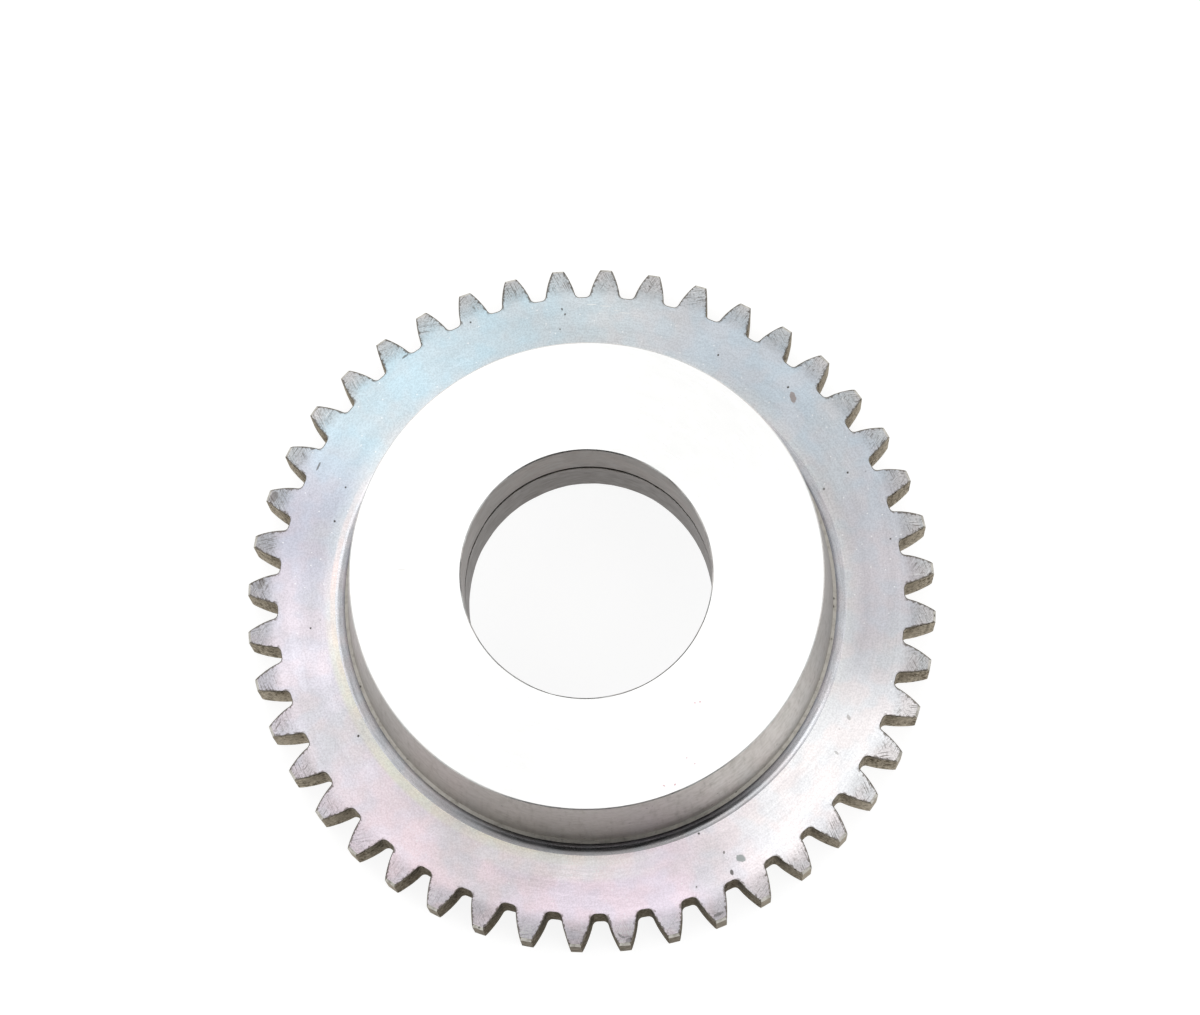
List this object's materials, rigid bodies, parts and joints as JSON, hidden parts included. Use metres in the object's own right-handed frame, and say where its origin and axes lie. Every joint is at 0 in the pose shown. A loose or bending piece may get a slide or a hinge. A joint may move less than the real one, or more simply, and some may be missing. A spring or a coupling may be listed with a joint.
{
  "type": "gear wheel",
  "caption": "Spur gear wheel with straight involute teeth, a tall tapered hub on one side, a plain bore with a ring groove and a recess in the underside.",
  "frame": {"origin": "centre of the bore in the plane of the underside", "axes": "+Z along the bore from the underside to the hub's top face; one tooth is centred on +X and one on +Y"},
  "size_m": [0.184, 0.184, 0.056],
  "materials": {
    "zinc_plated_steel": "bright zinc plating over turned faces, a forged hub wall and hobbed teeth"
  },
  "bodies": {
    "root": {"gear_wheel": "zinc_plated_steel"}
  },
  "joints": []
}
